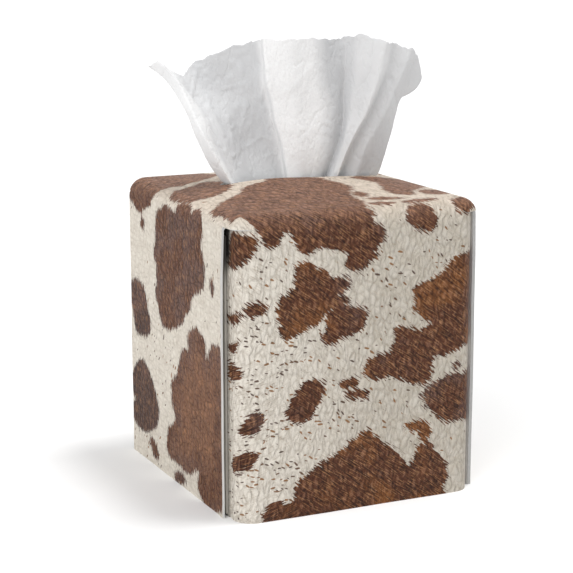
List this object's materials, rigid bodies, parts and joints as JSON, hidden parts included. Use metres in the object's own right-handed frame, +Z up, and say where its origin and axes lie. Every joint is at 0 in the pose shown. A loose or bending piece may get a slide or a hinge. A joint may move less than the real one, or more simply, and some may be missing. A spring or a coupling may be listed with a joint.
{
  "type": "tissue box cover",
  "caption": "Cube-shaped slip-over cover in hide-print faux leather for a cube carton of tissues, with the carton in it and a tissue standing out of the slot in its top.",
  "frame": {"origin": "middle of the footprint, on the surface that the rim and the carton stand on", "axes": "+X to the right of the front, +Y from front to back, +Z up"},
  "size_m": [0.126, 0.136, 0.2123],
  "materials": {
    "hide_leather": "printed faux leather, cream with brown patches, pebbled grain",
    "grey_board": "grey chipboard",
    "lining_cloth": "black non-woven lining",
    "pad_foam": "thin open foam",
    "tape": "double-sided tissue tape",
    "carton_board": "plain white paperboard, unprinted",
    "film": "thin clear film",
    "tissue_paper": "soft white two-ply tissue"
  },
  "bodies": {
    "refill": {"carton": "carton_board", "dispenser_film": "film", "tissue_stack": "tissue_paper"},
    "cover": {"top_panel": "hide_leather", "front_panel": "hide_leather", "back_panel": "hide_leather", "left_panel": "hide_leather", "right_panel": "hide_leather", "front_left_tape": "tape", "front_right_tape": "tape", "back_left_tape": "tape", "back_right_tape": "tape", "top_pad": "pad_foam", "top_board": "grey_board", "front_board": "grey_board", "back_board": "grey_board", "left_board": "grey_board", "right_board": "grey_board", "top_lining": "lining_cloth", "front_lining": "lining_cloth", "back_lining": "lining_cloth", "left_lining": "lining_cloth", "right_lining": "lining_cloth"},
    "tissue": {"tissue_sheet": "tissue_paper"}
  },
  "joints": [
    {"name": "cover_lift", "type": "slide", "parent": "refill", "child": "cover", "axis": [0, 0, 1], "range_m": [0, 0.15]},
    {"name": "tissue_pull", "type": "slide", "parent": "cover", "child": "tissue", "axis": [0, 0, 1], "range_m": [0, 0.1]}
  ]
}
